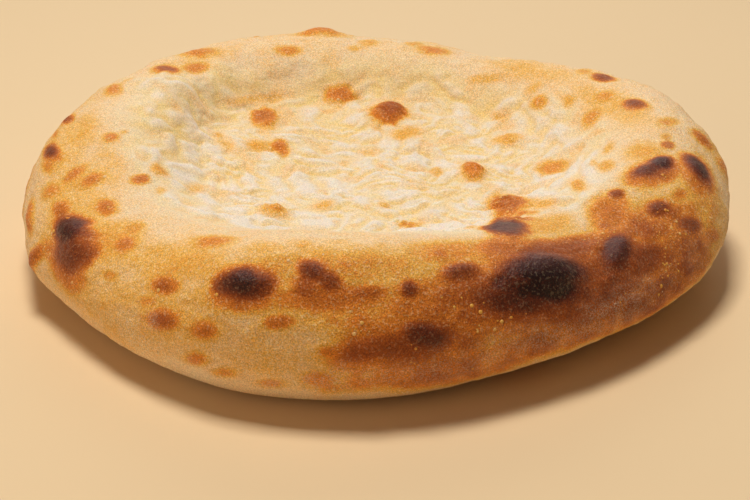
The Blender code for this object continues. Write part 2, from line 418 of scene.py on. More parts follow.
# Blisters where the photograph doesn't reach: (how many, smallest, largest, least tone, most tone)
HIDDEN_SEED = 12
HIDDEN_BLISTERS = ((16, 0.010, 0.024, 0.70, 0.95), (46, 0.005, 0.014, 0.34, 0.66))
UNDERSIDE_SPOTS = (40, 0.008, 0.022, 0.16, 0.42)
HIDDEN_FEW_LARGE = 1.6  # more makes large ones rarer
HIDDEN_HALF_HEIGHT = (0.3, 0.5)  # least and most, in widths of the blister
HIDDEN_SWELL = 0.0009  # how far the largest stand out on average
HIDDEN_SWELL_RANGE = (0.5, 1.5)  # least and most, in shares of that
HIDDEN_SPACING = 1.05  # from a new blister to the others, in its widths
HIDDEN_REACH = 0.088  # they lie farther than this from the middle of the bread
HIDDEN_LOWEST = 0.012  # and higher than this
FACING_DOWN = -0.9  # upward part of the crust's direction: it is less on the underside
HIDDEN_BROWN = 0.70  # a blister browner than this has a soft stretch of browned crust round it
HIDDEN_STRETCH = 2.6  # width of that stretch, in widths of the blister
HIDDEN_STRETCH_TONE = 0.66  # its tone, in shares of the blister's


# ---------------------------------------------------------------- the fine mesh

MERGE_DISTANCE = 1e-5
FLAT_HEIGHT = 1e-5  # what lies lower than this is the resting face
BASE_SPACING = 0.008  # between the corners of the resting face's triangles
BASE_MARGIN = 0.7  # between that face's edge and the nearest of them, in spacings
SAME_CORNER = 1e-7  # corners closer than this are one to the function that makes the triangles
KEEP_INSIDE = 1  # tells it to keep only the triangles inside the edge
QUAD_LEEWAY = 0.7  # how far a quad that two triangles make may be from flat and square, in radians
UNDERSIDE_HEIGHT = 0.013  # the mesh is coarse below this
FOLDED_REACH = 0.056  # from the middle of the bread: the mesh is finest inside this


def split(mesh, wanted):
    """Splits the edges whose two ends are both wanted, so that a face between them becomes four."""
    edges = [e for e in mesh.edges if wanted(e.verts[0]) and wanted(e.verts[1])]
    bmesh.ops.subdivide_edges(mesh, edges=edges, cuts=1, use_grid_fill=True)


def refill_base(mesh):
    """Swaps the resting face's long thin triangles for small even ones, which subdivide evenly."""
    base = [f for f in mesh.faces if all(v.co.z < FLAT_HEIGHT for v in f.verts)]
    edges = [e for e in {e for f in base for e in f.edges} if sum(f in e.link_faces for f in base) == 1]
    bmesh.ops.delete(mesh, geom=base, context="FACES")
    ring = list({v: None for e in edges for v in e.verts})
    place = {v: i for i, v in enumerate(ring)}
    angles = np.array([math.atan2(v.co.y, v.co.x) for v in ring])
    reach = np.array([v.co.xy.length for v in ring])
    order = np.argsort(angles)
    points = [v.co.xy for v in ring]
    count = math.ceil(reach.max() / BASE_SPACING)
    for row in range(-count, count + 1):
        for column in range(-count, count + 1):
            point = Vector((column + 0.5 * (row % 2), row * math.sqrt(3) / 2)) * BASE_SPACING
            angle = math.atan2(point.y, point.x)
            edge = np.interp(angle, angles[order], reach[order], period=2 * math.pi)
            if point.length < edge - BASE_MARGIN * BASE_SPACING:
                points.append(point)
    pairs = [(place[e.verts[0]], place[e.verts[1]]) for e in edges]
    _, _, faces, origins, _, _ = delaunay_2d_cdt(points, pairs, [], KEEP_INSIDE, SAME_CORNER)
    corners = ring + [mesh.verts.new((p.x, p.y, 0.0)) for p in points[len(ring) :]]
    for face in faces:
        mesh.faces.new([corners[origins[i][0]] for i in reversed(face)])


def plain_mesh(obj, name):
    """The object as its modifiers leave it, as a mesh of its own. The object is removed."""
    seen = obj.evaluated_get(bpy.context.evaluated_depsgraph_get())
    mesh = bpy.data.meshes.new_from_object(seen)
    mesh.name = name
    bpy.data.objects.remove(obj)
    return mesh


def show(mesh, name):
    """Puts the mesh into the scene as an object at the origin."""
    obj = bpy.data.objects.new(name, mesh)
    bpy.context.scene.collection.objects.link(obj)
    return obj


def fine_mesh():
    """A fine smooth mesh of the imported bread, finest in the folded middle and coarsest underneath."""
    cage = bmesh.new()
    cage.from_mesh(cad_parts[NODE].data)
    bmesh.ops.remove_doubles(cage, verts=cage.verts, dist=MERGE_DISTANCE)
    refill_base(cage)
    bmesh.ops.join_triangles(
        cage, faces=cage.faces, angle_face_threshold=QUAD_LEEWAY, angle_shape_threshold=QUAD_LEEWAY)
    bmesh.ops.recalc_face_normals(cage, faces=cage.faces)
    coarse = bpy.data.meshes.new("cage")
    cage.to_mesh(coarse)
    cage.free()
    coarse.materials.clear()
    obj = show(coarse, "cage")
    smooth = obj.modifiers.new("smooth", "SUBSURF")
    smooth.levels = smooth.render_levels = 1
    mesh = plain_mesh(obj, "crust")
    finer = bmesh.new()
    finer.from_mesh(mesh)
    split(finer, lambda v: v.co.z > UNDERSIDE_HEIGHT)
    split(finer, lambda v: v.co.z > TOP_SIDE and v.co.xy.length < FOLDED_REACH)
    finer.to_mesh(mesh)
    finer.free()
    return mesh


# ---------------------------------------------------------------- from the photograph to the bread

LEAST_FACING = 0.34  # a mark seen more edge-on than this isn't stretched any further
MARK_THICKNESS = 0.012  # a mark reaches this far below and above the crust
# A blister's middle and its sides, apart from the lower one
SIDES = ((0, 0, 0), (1, 0, 0), (-1, 0, 0), (0, 1, 0), (0, -1, 0), (0, 0, 1))
SIDE_REACH = 0.75  # how far from a blister's middle its sides are looked for, in its widths
SIGHT_SLACK = 0.002  # a sight line that meets the crust this close to its aim has reached it

# A mark's place on the crust and the crust's direction there, the matrix that turns an offset from that
# place into shares of the mark's half sizes, its tone, and its swell in metres
Laid = namedtuple("Laid", "place normal shares tone swell")


class Eye:
    """The camera's view, which finds the place on the bread that a pixel shows."""

    def __init__(self, settings, tree):
        self.place = Vector(settings.camera_place)
        self.turn = looking(self.place, settings.camera_aim)
        self.focal = settings.focal_length / SENSOR_WIDE * PHOTO_WIDE
        self.tree = tree

    def towards(self, across, down):
        """The direction in which the camera sees that pixel."""
        right = (across - PHOTO_WIDE / 2) / self.focal
        up = (PHOTO_HIGH / 2 - down) / self.focal
        return self.turn @ Vector((right, up, -1))

    def hit(self, mark):
        """Where the mark's middle lies on the crust, and the crust's direction there."""
        ray = self.towards(mark.across, mark.down)
        place, normal, _, _ = self.tree.ray_cast(self.place, ray)
        if place is None:
            raise ValueError(f"no crust at {mark.across}, {mark.down}")
        back = -ray.normalized()
        facing = normal.dot(back)
        if facing < LEAST_FACING:
            side = (normal - back * facing).normalized()
            normal = back * LEAST_FACING + side * math.sqrt(1 - LEAST_FACING**2)
        return place, normal

    def sees(self, place, size):
        """Whether the camera sees any of a blister of that size at the place."""
        for side in SIDES:
            aim = self.tree.find_nearest(place + Vector(side) * size * SIDE_REACH)[0]
            met = self.tree.ray_cast(self.place, aim - self.place)[0]
            if met is None or (met - aim).length < SIGHT_SLACK:
                return True
        return False

    def lay(self, mark):
        """The mark as it lies on the bread."""
        place, normal = self.hit(mark)
        tilt = math.radians(mark.tilt)
        ends = (
            (math.cos(tilt) * mark.wide / 2, -math.sin(tilt) * mark.wide / 2),
            (math.sin(tilt) * mark.high / 2, math.cos(tilt) * mark.high / 2))
        axes = []
        for across, down in ends:
            ray = self.towards(mark.across + across, mark.down + down)
            distance = (place - self.place).dot(normal) / ray.dot(normal)
            axes.append(self.place + ray * distance - place)
        shares = Matrix((*axes, normal * MARK_THICKNESS)).transposed().inverted()
        return Laid(place, normal, shares, mark.tone, mark.swell / 1000)


def suits(eye, laid, place, normal, size, underneath):
    """Whether a blister of that size may lie at the place, hidden from the camera and clear of others."""
    if underneath != (normal.z < FACING_DOWN):
        return False
    if not underneath and (place.z < HIDDEN_LOWEST or place.xy.length < HIDDEN_REACH):
        return False
    if not underneath and eye.sees(place, size):
        return False
    return all((place - other.place).length >= HIDDEN_SPACING * size for other in laid)


def hidden_marks(eye, skin):
    """Blisters like those in view, at random places that the camera doesn't see, and spots underneath."""
    draw = random.Random(HIDDEN_SEED)
    laid = []
    groups = [(g, False) for g in HIDDEN_BLISTERS] + [(UNDERSIDE_SPOTS, True)]
    for (count, smallest, largest, least, most), underneath in groups:
        wanted = len(laid) + count
        while len(laid) < wanted:
            index = draw.randrange(len(skin.points))
            place = Vector(skin.points[index])
            normal = Vector(skin.normals[index])
            size = smallest + (largest - smallest) * draw.random() ** HIDDEN_FEW_LARGE
            if not suits(eye, laid, place, normal, size, underneath):
                continue
            along = normal.orthogonal().normalized()
            along.rotate(Matrix.Rotation(draw.uniform(0, math.pi), 3, normal))
            beside = normal.cross(along) * size * draw.uniform(*HIDDEN_HALF_HEIGHT)
            shares = Matrix((along * size / 2, beside, normal * MARK_THICKNESS)).transposed().inverted()
            tone = draw.uniform(least, most)
            swell = 0.0 if underneath else HIDDEN_SWELL * size / largest * draw.uniform(*HIDDEN_SWELL_RANGE)
            laid.append(Laid(place, normal, shares, tone, swell))
    return laid


# ---------------------------------------------------------------- the crust's noises, folds and marks

# Noises that vary the crust: (size of their lumps, seed)
NOISES = {
    "broad": (0.030, 1), "patchy": (0.012, 2), "mottled": (0.0055, 3), "fine": (0.0026, 4),
    "busy": (0.022, 11), "pebbled": (0.018, 14), "blotchy": (0.0075, 15), "clustered": (0.014, 17),
}
SEED_STRIDES = (3.17, 1.31, 7.43)  # from one seed's place in the noise to the next one's, in lumps

# How much of each noise goes into what they vary together
EDGE_WAVES = {"patchy": 0.006, "mottled": 0.003}  # of the pale middle's edge
RIM_BUMPS = {"mottled": 0.7, "fine": 0.5, "patchy": 0.6}  # in shares of the rim's roughness
STRETCH_WOBBLE = {"patchy": 0.3}  # of the baked stretches' outlines, in their half sizes
SPOT_WOBBLE = {"mottled": 0.22, "fine": 0.08}  # of the blisters' and spots' outlines, as above
FLOUR_WOBBLE = {"mottled": 0.5}  # of the floured places' outlines, as above
RIM_UNEVEN = {"broad": 0.05, "patchy": 0.06, "mottled": 0.05, "fine": 0.03}  # of the rim's tone
MIDDLE_UNEVEN = {"patchy": 0.04, "mottled": 0.03}  # of the middle's tone
BUBBLE_CLUSTERS = {"clustered": 1.0, "mottled": 0.3}  # of where the small bubbles stand

# Noise that pushes the folds about: (size of its lumps, how far it pushes, seed)
WIDE_WARP = (0.016, 0.0060, 5)
NARROW_WARP = (0.006, 0.0018, 8)

# length, width: in shares of the settings'. shown: how much they show. pebbled: how much more where the
# dough is pebbled.
Folds = namedtuple("Folds", "length width seed shown pebbled")
LARGE_FOLDS = Folds(1.0, 1.0, 6, 0.54, 0.0)
SMALL_FOLDS = Folds(0.56, 0.60, 9, 0.28, 0.06)
TINY_FOLDS = Folds(0.26, 0.36, 12, 0.06, 0.08)
PEBBLED_FROM = (-0.15, 0.35)  # values of its noise between which the dough becomes pebbled
FOLD_RING = 0.060  # the folds farther out follow the rim, and have their set length at this radius
RINGED_FROM = (0.026, 0.046)  # between these distances from the middle, straight folds give way to them
CREASE_SOFTNESS = 0.09  # more makes the creases wider and rounder
PUFFED = 1.15  # brings the folds' tops up to about 1

# Distances from a mark's middle, in its half sizes: it is whole up to the first and gone from the second
SOFT_EDGE = (0.2, 1.3)
HALO_EDGE = (0.7, 1.7)
SPOT_EDGE = (0.24, 1.32)
BURNT_EDGE = (0.36, 1.40)
WOBBLE_ROOM = 0.6  # no outline wobbles farther out than this
OTHER_SIDE = -0.2  # cosine from the mark's direction: crust that is turned farther is out of its reach
SWELL_REACH = 1.15  # how far out a blister stands off the crust, in its half sizes
SWELL_FALL = 1.3  # more makes a blister steeper


def noise_at(points, size, seed):
    """Smooth noise, about -1 to 1, at each point, with lumps of that size."""
    offset = Vector([seed * stride for stride in SEED_STRIDES])
    return np.array([noise.noise(Vector(p) / size + offset) for p in points])


def warped(points, size, reach, seed):
    """The points pushed about by smooth noise, so that patterns made with them aren't straight."""
    noise.seed_set(seed)
    push = np.array([noise.noise_vector(Vector(p) / size)[:] for p in points])
    return points + push * reach


def vectors(items, name):
    """The vector of that name of each item, a row each."""
    flat = np.empty(len(items) * 3, np.float32)
    items.foreach_get(name, flat)
    return flat.reshape(-1, 3).astype(float)


class Skin:
    """The smooth crust before anything is pressed or raised, with the noises that vary it."""

    def __init__(self, mesh):
        self.points = vectors(mesh.vertices, "co")
        self.normals = vectors(mesh.vertex_normals, "vector")
        self.backwards = self.points[:, 1]
        self.height = self.points[:, 2]
        self.radius = np.hypot(self.points[:, 0], self.points[:, 1])
        self.angle = np.degrees(np.arctan2(self.points[:, 1], self.points[:, 0]))
        self.noises = {name: noise_at(self.points, *kind) for name, kind in NOISES.items()}

    def mix(self, shares):
        """The named shares of the noises together."""
        return sum(share * self.noises[name] for name, share in shares.items())


def puffs(points, settings, folds):
    """Puffed folds of dough, straight near the middle: 0 in their creases, about 1 on their tops."""
    length = folds.length * settings.fold_length
    width = folds.width * settings.fold_width
    radius = np.hypot(points[:, 0], points[:, 1])
    angle = np.arctan2(points[:, 1], points[:, 0])
    round_the_ring = np.stack(
        (FOLD_RING * np.cos(angle) / length, FOLD_RING * np.sin(angle) / length, radius / width), axis=1)
    straight = np.stack((points[:, 0] / length, points[:, 1] / width, np.zeros(len(points))), axis=1)
    ringed = noise_at(round_the_ring, 1.0, folds.seed)
    plain = noise_at(straight, 1.0, folds.seed + 1)
    share = step(*RINGED_FROM, radius)
    blend = ringed * share + plain * (1 - share)
    return np.clip(PUFFED * blend**2 / (blend**2 + CREASE_SOFTNESS), 0, 1)


def all_folds(skin, settings):
    """The folds of three sizes together; more of the smaller ones shows where the dough is pebbled."""
    pebbled = step(*PEBBLED_FROM, skin.noises["pebbled"])
    bent = warped(skin.points, *WIDE_WARP)
    crumpled = warped(bent, *NARROW_WARP)
    fold = 0
    for folds, points in ((LARGE_FOLDS, bent), (SMALL_FOLDS, crumpled), (TINY_FOLDS, crumpled)):
        fold = fold + (folds.shown + folds.pebbled * pebbled) * puffs(points, settings, folds)
    return fold


def near_mark(mark, skin, reach):
    """Which points the mark reaches, and how far each of them is from its middle, in its half sizes."""
    shares = (skin.points - np.array(mark.place)) @ np.array(mark.shares).T
    away = np.sqrt((shares**2).sum(axis=1))
    near = (away < reach) & (skin.normals @ np.array(mark.normal) > OTHER_SIDE)
    return near, away[near]


def mark_share(mark, skin, wobble, edge):
    """Which points the mark reaches, and its share at each of them."""
    whole, none = edge
    near, away = near_mark(mark, skin, none + WOBBLE_ROOM)
    return near, step(none, whole, away + wobble[near])


def browned_by(laid, before, skin, wobble, edge):
    """The tone after the marks: each brings the crust up to its own tone, and never makes it paler."""
    tone = before.copy()
    for mark in laid:
        near, share = mark_share(mark, skin, wobble, edge)
        tone[near] = np.maximum(tone[near], before[near] + (mark.tone - before[near]) * share)
    return tone


def covered_by(laid, skin, wobble, edge):
    """How thickly the marks together cover each point, from 0 to 1."""
    bare = np.ones(len(skin.points))
    for mark in laid:
        near, share = mark_share(mark, skin, wobble, edge)
        bare[near] *= 1 - mark.tone * share
    return 1 - bare


def swelling(laid, skin):
    """How far the marks' blisters stand out of the crust at each point."""
    swell = np.zeros(len(skin.points))
    for mark in laid:
        if mark.swell:
            near, away = near_mark(mark, skin, SWELL_REACH)
            bulge = np.clip(1 - (away / SWELL_REACH) ** 2, 0, 1) ** SWELL_FALL
            swell[near] = np.maximum(swell[near], mark.swell * bulge)
    return swell


def filled_out(skin, eye):
    """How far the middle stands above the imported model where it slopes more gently."""
    raised = np.zeros(len(skin.points))
    for slope in GENTLE_SLOPES:
        place, _ = eye.hit(slope)
        away = np.hypot(skin.points[:, 0] - place.x, skin.points[:, 1] - place.y) / slope.reach
        raised += slope.raised * np.exp(-away**2)
    return raised


# ---------------------------------------------------------------- relief and baking of the crust

FULL_RELIEF = 0.012  # the relief grows from nothing at the foot to its full height here
FOLD_SPREAD = (0.85, 0.55)  # depth of the folds in shares of the settings', and how much that varies
LUMPS = 0.0006  # height of the low lumps under the folds
BASE_LIFT = 0.0006  # how high the resting face is lifted off the table in places
BASE_LIFTED = 0.2  # more lifts more of it

RIM_TONE = 0.23  # of the rim where nothing browned it
BACK_TONE = 0.10  # how much browner the foot of the rim is at the back
BACK_FROM = (0.045, 0.085)  # how far back that begins and is whole
BACK_UNDER = (0.040, 0.026)  # at what height it begins and is whole
RIM_UNEVENNESS = (0.8, 1.2)  # of the whole rim, and how much is added to it on browned crust
BROWNED_FROM = (0.40, 0.60)  # tones at which the crust begins to be browned and is fully browned
FOOT_PALER = 0.20  # share by which the foot is paler
FOOT_HEIGHT = 0.005  # the foot reaches up to here

MIDDLE_TONE = 0.005  # of the middle's near part
FAR_TONE = 0.065  # how much browner the middle's far part is
FAR_FROM = (-0.035, 0.030)  # how far back that begins and is whole
CREASE_SHADE_TONE = 0.14  # painted shade: how much browner a crease is than the top of its fold
BLOTCH_TONE = 0.15  # how much browner the middle's blotches are
BLOTCHES_FROM = (0.05, 0.50)  # values of their noise at which they begin and are whole

HALO_TONE = 0.46  # how brown the soft crust round a blister is at most
HALO_SHARE = 0.75  # how brown it is, in shares of the blister's tone
HALO_LEAST = 0.40  # a mark no browner than this has none

MARK_FLOUR = 0.66  # how thick the flour lies at most in a floured place
FOOT_FLOUR = 0.32  # and at the very foot of the rim
FLOURED_HEIGHT = 0.009  # the flour at the foot reaches up to here

CLUSTERS_FROM = (0.05, 0.55)  # values of their noise at which clusters of bubbles begin and are whole
BUBBLY_FROM = (0.30, 0.46)  # tones of browning crust at which the bubbles begin and are whole
BUBBLY_TO = (0.86, 0.62)  # tones at which they end and are still whole


def relief_of(skin, settings, eye, fold, creased, blisters):
    """How far the folds, the rim's bumps and the blisters stand off the smooth crust."""
    depth, variation = FOLD_SPREAD
    busy = depth + variation * skin.noises["busy"]
    relief = creased * (busy * settings.fold_depth * (fold - 0.5) + LUMPS * skin.noises["patchy"])
    relief += creased * filled_out(skin, eye)
    relief += (1 - creased) * (settings.rim_roughness * skin.mix(RIM_BUMPS))
    relief += swelling(blisters, skin)
    return relief * step(0.0, FULL_RELIEF, skin.height)


def rim_tone(skin, stretches):
    """How brown the crust of the rim is before its blisters. The stretches on the lower front and the right
    front paint shade there as well as browning.
    """
    behind = step(*BACK_FROM, skin.backwards) * step(*BACK_UNDER, skin.height)
    tone = RIM_TONE + BACK_TONE * behind
    tone = browned_by(stretches, tone, skin, skin.mix(STRETCH_WOBBLE), SOFT_EDGE)
    everywhere, more = RIM_UNEVENNESS
    tone = tone + skin.mix(RIM_UNEVEN) * (everywhere + more * step(*BROWNED_FROM, tone))
    return tone * (1 - FOOT_PALER + FOOT_PALER * step(0.0, FOOT_HEIGHT, skin.height))


def middle_tone(skin, fold):
    """How brown the pressed middle is before its spots. Its creases are painted browner, as shade."""
    farther = step(*FAR_FROM, skin.backwards)
    blotchy = step(*BLOTCHES_FROM, skin.noises["blotchy"])
    tone = MIDDLE_TONE + FAR_TONE * farther + skin.mix(MIDDLE_UNEVEN)
    return tone + CREASE_SHADE_TONE * (0.5 - fold) + BLOTCH_TONE * blotchy


def bake_crust(mesh, settings, eye):
    """Presses the creases, raises the blisters, and stores how baked and how floured each point is."""
    skin = Skin(mesh)
    every = 360 / len(PALE_EDGE)
    edge = np.interp(skin.angle, np.arange(len(PALE_EDGE)) * every, PALE_EDGE, period=360)
    edge = edge + skin.mix(EDGE_WAVES)
    on_top = skin.height > TOP_SIDE
    middle = step(edge + PALE_FADE / 2, edge - PALE_FADE / 2, skin.radius) * on_top
    creased = step(edge + CREASES_END, edge - CREASES_WHOLE, skin.radius) * on_top
    fold = all_folds(skin, settings)

    burnt = [eye.lay(mark) for mark in CHARRED]
    hidden = hidden_marks(eye, skin)
    spots = [eye.lay(mark) for mark in BROWNED + MIDDLE_SPOTS_AND_SHADE] + hidden
    stretches = [eye.lay(mark) for mark in BAKED_AND_SHADED_STRETCHES]
    for mark in hidden:
        if mark.tone > HIDDEN_BROWN:
            tone = HIDDEN_STRETCH_TONE * mark.tone
            stretches.append(mark._replace(shares=mark.shares * (1 / HIDDEN_STRETCH), tone=tone))
    brown = [mark for mark in burnt + spots if mark.tone > HALO_LEAST]
    halos = [mark._replace(tone=min(HALO_TONE, HALO_SHARE * mark.tone)) for mark in brown]

    tone = np.clip(middle * middle_tone(skin, fold) + (1 - middle) * rim_tone(skin, stretches), 0, 1)
    wobble = skin.mix(SPOT_WOBBLE)
    for laid, outline in ((halos, HALO_EDGE), (spots, SPOT_EDGE), (burnt, BURNT_EDGE)):
        tone = browned_by(laid, tone, skin, wobble, outline)
    floured = [eye.lay(mark) for mark in FLOURED]
    flour = covered_by(floured, skin, skin.mix(FLOUR_WOBBLE), SOFT_EDGE)
    at_the_foot = step(FLOURED_HEIGHT, 0.0, skin.height)
    flour = 1 - (1 - MARK_FLOUR * flour) * (1 - FOOT_FLOUR * at_the_foot)
    clusters = step(*CLUSTERS_FROM, skin.mix(BUBBLE_CLUSTERS))
    bubbly = clusters * step(*BUBBLY_FROM, tone) * step(*BUBBLY_TO, tone)

    relief = relief_of(skin, settings, eye, fold, creased, burnt + spots)
    points = skin.points + skin.normals * relief[:, None]
    under = points[:, 2] < FLAT_HEIGHT
    points[under, 2] = np.clip(BASE_LIFT * (skin.noises["patchy"][under] + BASE_LIFTED), 0, None)
    mesh.vertices.foreach_set("co", points.astype(np.float32).ravel())
    # The tone stored as baked is mostly browning, but in places also holds painted shade: in the middle's
    # creases, in its shaded hollow and on the lower and right front
    stores = {"baked": tone, "floured": flour, "fold": fold * creased, "middle": middle, "bubbly": bubbly}
    for name, values in stores.items():
        stored = mesh.attributes.new(name, "FLOAT", "POINT")
        stored.data.foreach_set("value", values.astype(np.float32))
    mesh.shade_smooth()
    mesh.update()


# ---------------------------------------------------------------- materials

# Patterns of the finishes, as a noise's values. Its scale is 1000 over the width of a lump in millimetres.
# The crust's grain and its sparkle are finer on a real bread, and as coarse here as it takes to show them.
GRAIN = {"Scale": 1000 / 0.5, "Detail": 1.0, "Roughness": 0.70}
PORES = {"Scale": 1000 / 1.8, "Detail": 1.0, "Roughness": 0.50}
FLECKS = {"Scale": 1000 / 0.9, "Detail": 1.0, "Roughness": 0.50}
SPARKLE = {"Scale": 1000 / 0.4, "Detail": 0.0}
BUBBLE_MOTTLE = {"Scale": 1000 / 1.2, "Detail": 2.0}
FLOUR_MOTTLE = {"Scale": 1000 / 4.0, "Detail": 3.0}
FLOOR_MOTTLE = {"Scale": 1000 / 16.6667, "Detail": 2.0}

# The crust's colours as it bakes: how baked it is, from 0 to 1, and the setting that holds the colour
BAKING_COLOURS = (
    (0.03, "dough"), (0.14, "cream"), (0.26, "straw"), (0.38, "golden"),
    (0.50, "amber"), (0.65, "russet"), (0.83, "brown"), (0.96, "char"))
FLOUR_COLOURS = ((0.35, "straw"), (0.6, "flour"))

# The crust's looks: (what each follows, the values of that between which it changes, how strong it is at the
# first of them and at the second)
CRUST_LOOKS = {
    "contrast": ("baked", 0.20, 0.50, 0.32, 0.25),  # of the pores and the grain
    "crease": ("fold", 0.48, 0.08, 0.0, 0.44),  # painted shade: yellower in the creases of the middle's folds
    "slope": ("leaning", 0.04, 0.42, 0.0, 0.38),  # painted shade: yellower on slopes that face away from the lights
    "unbaked": ("baked", 0.30, 0.12, 0.0, 1.0),
    "flecked": ("baked", 0.28, 0.72, 0.38, 0.07),
    # painted sheen: burnt tops that face up, where the light from above catches them
    "painted_sheen": ("upward", 0.70, 0.97, 0.0, 0.27),
    "burnt": ("baked", 0.70, 0.92, 0.0, 1.0),
    "drift": ("grain", 0.46, 0.58, 0.0, 1.0),  # of flour, which lies on the grain's high parts
    "darkest": ("baked", 0.10, 0.32, 0.85, 0.77),  # facet of the sparkle
    "rough": ("baked", 0.50, 0.95, 0.66, 0.42),
}
PORE_SHARE = 0.25  # how much the pores shade the crust, in shares of what the grain does
FLECKS_FROM = (0.57, 0.65)  # values of their noise at which the dry flecks begin and are whole
SPARKLE_FROM = (0.25, 0.75)  # values of its noise on the darkest facet and on the brightest one
SPARKLE_SUM = 2.07  # of the darkest facet's brightness and the brightest one's
SHADED_SIDE = (0.2, -0.98, 0.0)  # slopes of the middle that lean this way face away from the lights and are painted a yellower shade
CRUST_IOR = 1.45
RED_DEEPEST = (1.0, 0.5, 0.25)  # how deep red, green and blue light go into the crust, next to each other
SHEEN_TINT = "FFF5F6"

# A bubble is as baked as this share of the crust under it, varied by its mottle and then made paler
BUBBLE_BAKED = 0.70
BUBBLE_VARIATION = 0.25
BUBBLE_PALER = 0.16


def add(tree, kind, values=None, links=None, **settings):
    """Adds a node, with its settings, its sockets' values and the links that come into it.

    A link comes from an output, or from a node, which stands for its first output that is in use.
    """
    made = tree.nodes.new(kind)
    for name, value in settings.items():
        setattr(made, name, value)
    for name, value in (values or {}).items():
        made.inputs[name].default_value = value
    for name, source in (links or {}).items():
        if isinstance(source, bpy.types.Node):
            source = next(output for output in source.outputs if output.enabled)
        tree.links.new(source, made.inputs[name])
    return made


def new_material(name):
    """A material of that name and its node tree, which is still empty."""
    material = bpy.data.materials.new(name)
    material.use_nodes = True
    material.node_tree.nodes.clear()
    return material, material.node_tree


def fill_ramp(ramp, settings, stops):
    """Sets the ramp's stops, each a place and the name of the setting that holds its colour."""
    elements = ramp.color_ramp.elements
    while len(elements) < len(stops):
        elements.new(1.0)
    for element, (place, name) in zip(elements, stops):
        element.position = place
        element.color = getattr(settings, name)


def crust_material(settings):
    """Crust of wheat bread baked in a very hot oven: dry and dull, so rough, with fine pores.

    It is cream where it is barely baked, then golden, russet, brown and at last black, and the burnt tops
    are a little glossier. Light goes a short way into it. The middle's creases and its slopes that face away
    from the lights are painted a yellower shade, and burnt tops that face up a purplish painted sheen.
    """
    material, tree = new_material("baked_wheat_crust")
    place = add(tree, "ShaderNodeTexCoord").outputs["Object"]
    baked, floured, fold, middle = (
        add(tree, "ShaderNodeAttribute", attribute_name=name).outputs["Fac"]
        for name in ("baked", "floured", "fold", "middle"))
    grain, pores, flecks, speck = (
        add(tree, "ShaderNodeTexNoise", pattern, {"Vector": place})
        for pattern in (GRAIN, PORES, FLECKS, SPARKLE))
    normal = add(tree, "ShaderNodeNewGeometry").outputs["Normal"]
    upward = add(tree, "ShaderNodeSeparateXYZ", links={"Vector": normal}).outputs["Z"]
    leaning = add(tree, "ShaderNodeVectorMath", {1: SHADED_SIDE}, {0: normal}, operation="DOT_PRODUCT")
    sources = {"baked": baked, "fold": fold, "grain": grain, "upward": upward, "leaning": leaning}
    look = {}
    for name, (source, *limits) in CRUST_LOOKS.items():
        values = dict(zip(("From Min", "From Max", "To Min", "To Max"), limits))
        look[name] = add(tree, "ShaderNodeMapRange", values, {"Value": sources[source]})

    # Colour by baking, shaded by the pores and the grain
    hollow = add(tree, "ShaderNodeMath", {0: 0.5}, {1: pores}, operation="SUBTRACT")
    grainy = add(tree, "ShaderNodeMath", {1: 0.5}, {0: grain}, operation="SUBTRACT")
    shift = add(tree, "ShaderNodeMath", {1: PORE_SHARE}, {0: hollow, 2: grainy}, operation="MULTIPLY_ADD")
    shaded = add(
        tree, "ShaderNodeMath", links={0: shift, 1: look["contrast"], 2: baked}, operation="MULTIPLY_ADD")
    colour = add(tree, "ShaderNodeValToRGB", links={"Fac": shaded})
    fill_ramp(colour, settings, BAKING_COLOURS)

    # Layers over it: painted shade in the middle's creases and on its slopes that face away from the lights,
    # dry flecks, a painted sheen on burnt tops that face up, and flour
    # Painted shade: the middle's creases and its slopes that face away from the lights
    shadowed = add(tree, "ShaderNodeMath", links={0: look["crease"], 1: look["slope"]}, operation="ADD")
    pale = add(tree, "ShaderNodeMath", links={0: look["unbaked"], 1: middle}, operation="MULTIPLY")
    creased = add(tree, "ShaderNodeMath", links={0: shadowed, 1: pale}, operation="MULTIPLY")
    dry = add(
        tree, "ShaderNodeMapRange", {"From Min": FLECKS_FROM[0], "From Max": FLECKS_FROM[1]},
        {"Value": flecks, "To Max": look["flecked"]})
    # Painted sheen on burnt tops that face up
    sheen_share = add(tree, "ShaderNodeMath", links={0: look["painted_sheen"], 1: look["burnt"]}, operation="MULTIPLY")
    dusty = add(tree, "ShaderNodeMath", links={0: look["drift"], 1: floured}, operation="MULTIPLY")
    layers = {"shade_yellow": creased, "speck": dry, "painted_sheen": sheen_share, "flour": dusty}
    for name, share in layers.items():
        colour = add(
            tree, "ShaderNodeMix", {"B": getattr(settings, name)}, {"Factor": share, "A": colour},
            data_type="RGBA")

    # Sparkle of tiny facets, stronger on baked crust
    brightest = add(tree, "ShaderNodeMath", {0: SPARKLE_SUM}, {1: look["darkest"]}, operation="SUBTRACT")
    sparkle = add(
        tree, "ShaderNodeMapRange", {"From Min": SPARKLE_FROM[0], "From Max": SPARKLE_FROM[1]},
        {"Value": speck, "To Min": look["darkest"], "To Max": brightest})
    lit = add(tree, "ShaderNodeVectorMath", links={0: colour, "Scale": sparkle}, operation="SCALE")

    deep = add(tree, "ShaderNodeBump", {"Strength": 1.0, "Distance": 0.00036}, {"Height": pores})
    bump = add(
        tree, "ShaderNodeBump", {"Strength": 1.0, "Distance": 0.00026}, {"Height": grain, "Normal": deep})
    shader = add(
        tree, "ShaderNodeBsdfPrincipled",
        {"IOR": CRUST_IOR, "Specular IOR Level": 0.26, "Sheen Weight": 0.10, "Sheen Roughness": 0.45,
         "Sheen Tint": linear(SHEEN_TINT), "Subsurface Weight": 0.25,
         "Subsurface Radius": RED_DEEPEST, "Subsurface Scale": 0.002},
        {"Base Color": lit, "Roughness": look["rough"], "Normal": bump})
    add(tree, "ShaderNodeOutputMaterial", links={"Surface": shader})
    return material


